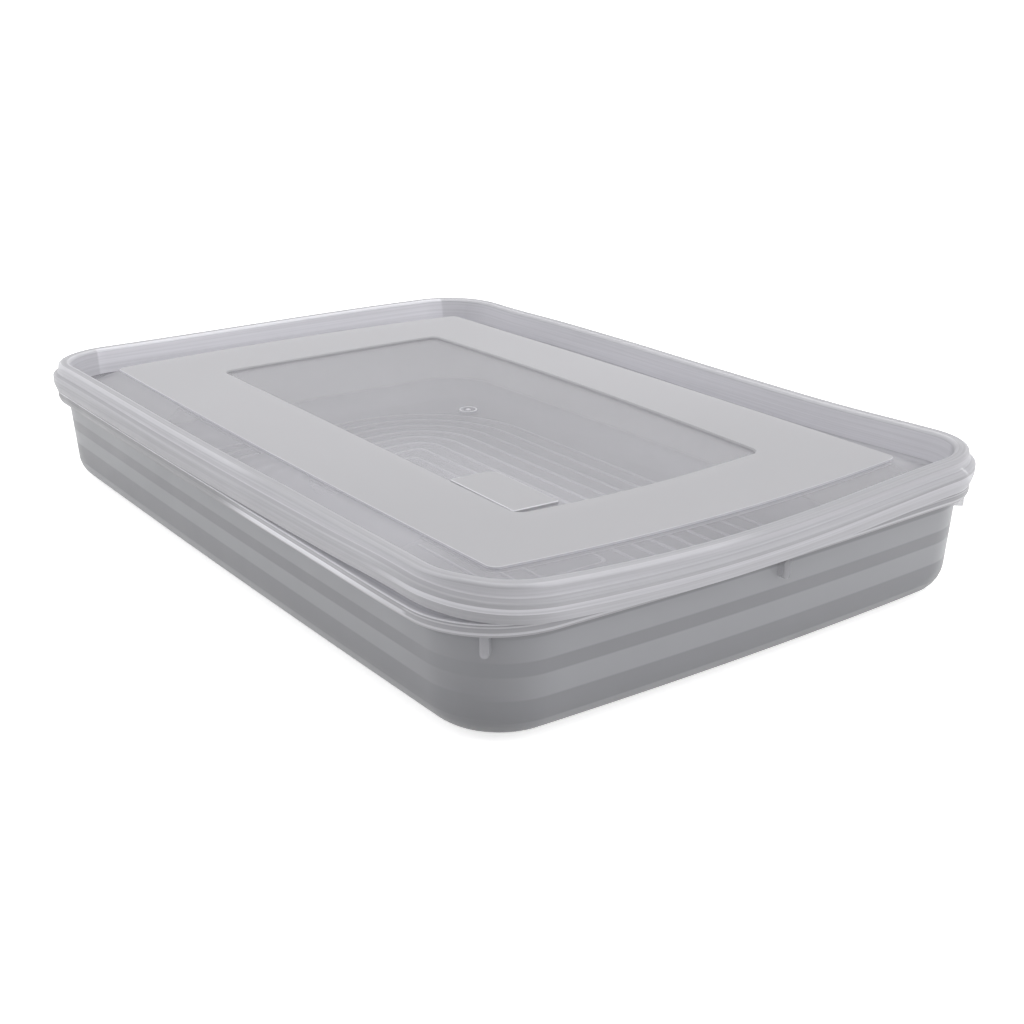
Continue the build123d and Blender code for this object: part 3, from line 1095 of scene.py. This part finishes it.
def soft_light(name, place, target, size, power):
    """A rectangular light of a size, aimed at a target."""
    light = bpy.data.lights.new(name, "AREA")
    light.shape = "RECTANGLE"
    light.size, light.size_y = size
    light.energy = power
    lamp = bpy.data.objects.new(name, light)
    bpy.context.scene.collection.objects.link(lamp)
    lamp.location = place
    aim = Vector(target) - Vector(place)
    lamp.rotation_euler = aim.to_track_quat("-Z", "Y").to_euler()


def seen_by_camera(tree):
    """1 for rays that the camera sends, also by way of gloss or clear sheets, and 0 for light on surfaces."""
    paths = add_node(tree, "ShaderNodeLightPath")
    seen = maths(tree, "MAXIMUM", paths.outputs["Is Camera Ray"], paths.outputs["Is Glossy Ray"])
    return maths(tree, "MAXIMUM", seen, paths.outputs["Is Transmission Ray"])


def build_floor():
    """White floor just under the container, which glows for the camera so that it looks pure white."""
    bpy.ops.mesh.primitive_plane_add(size=FLOOR_SIZE, location=(0, 0, -FLOOR_DROP))
    floor = bpy.context.object
    floor.name = "floor"
    material, tree, shader = node_material("floor")
    shader.inputs["Base Color"].default_value = (0.8, 0.8, 0.8, 1)
    shader.inputs["Roughness"].default_value = 0.9
    shader.inputs["Specular IOR Level"].default_value = 0.0
    glow = add_node(tree, "ShaderNodeEmission")
    link(tree, times(tree, seen_by_camera(tree), FLOOR_GLOW), glow.inputs["Strength"])
    both = add_node(tree, "ShaderNodeAddShader")
    link(tree, shader.outputs["BSDF"], both.inputs[0])
    link(tree, glow.outputs["Emission"], both.inputs[1])
    link(tree, both.outputs["Shader"], tree.nodes["Material Output"].inputs["Surface"])
    floor.data.materials.append(material)


def build_world():
    """White surroundings, brighter for the camera than as light."""
    world = bpy.data.worlds.new("studio")
    bpy.context.scene.world = world
    world.use_nodes = True
    tree = world.node_tree
    back = tree.nodes["Background"]
    back.inputs["Color"].default_value = (1, 1, 1, 1)
    link(tree, remap(tree, seen_by_camera(tree), 0, 1, WORLD_LIGHT, 1.0), back.inputs["Strength"])


build_floor()
build_world()

# Lights: name, place, target, size and power
soft_light("top", (0.0, 0.1, 1.6), (0, 0, 0), (1.6, 1.2), 14)
soft_light("left", (-0.9, -1.0, 0.7), (0, 0, 0.03), (0.9, 0.9), 6)
soft_light("right", (1.0, 0.9, 0.7), (0, 0, 0.03), (0.9, 0.9), 6)

# The camera that the photo was fitted with
CAMERA_PLACE = (0.5221, -0.3557, 0.2370)
CAMERA_RIGHT = Vector((0.5882, 0.8087, 0.0)).normalized()
CAMERA_BACK = Vector((0.7588, -0.5519, 0.3457)).normalized()
FOCAL_PIXELS = 1475.84
IMAGE_PIXELS = 1024
SENSOR = 36.0

camera_data = bpy.data.cameras.new("camera")
camera_data.sensor_width = SENSOR
camera_data.lens = FOCAL_PIXELS / IMAGE_PIXELS * SENSOR
camera = bpy.data.objects.new("camera", camera_data)
bpy.context.scene.collection.objects.link(camera)
camera_up = CAMERA_BACK.cross(CAMERA_RIGHT).normalized()
turn = Matrix((CAMERA_RIGHT, camera_up, CAMERA_BACK)).transposed().to_4x4()
camera.matrix_world = Matrix.Translation(CAMERA_PLACE) @ turn
bpy.context.scene.camera = camera
bpy.context.scene.view_settings.view_transform = "Standard"
bpy.context.scene.cycles.transparent_max_bounces = 32
